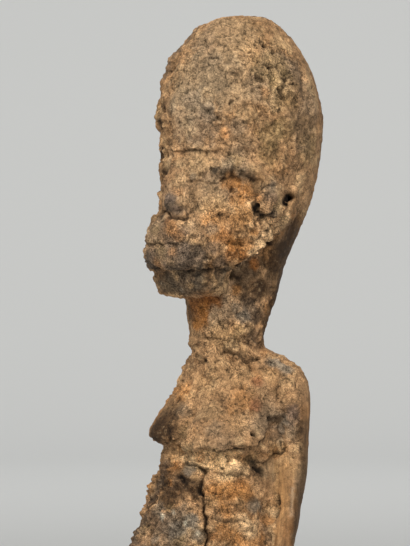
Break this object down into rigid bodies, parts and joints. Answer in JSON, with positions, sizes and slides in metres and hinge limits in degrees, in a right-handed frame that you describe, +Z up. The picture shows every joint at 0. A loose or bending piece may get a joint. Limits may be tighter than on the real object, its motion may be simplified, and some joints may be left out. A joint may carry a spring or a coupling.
{
  "type": "lobi bateba figure",
  "caption": "Standing carved wooden shrine figure with a tall egg-shaped head, jutting jaw, arms at its sides and bent legs on a low oval plinth, coated with a cracked earthen crust.",
  "frame": {"origin": "on the plinth's underside, below the figure's upright axis", "axes": "+Z up through the crown, the figure faces -Y, its left hand is at +X"},
  "size_m": [0.0922, 0.1063, 0.58],
  "materials": {
    "crusted_wood": "matt dry hardwood under a cracked, granular ochre and grey-brown crust of old offerings"
  },
  "bodies": {
    "root": {"figure": "crusted_wood"}
  },
  "joints": []
}
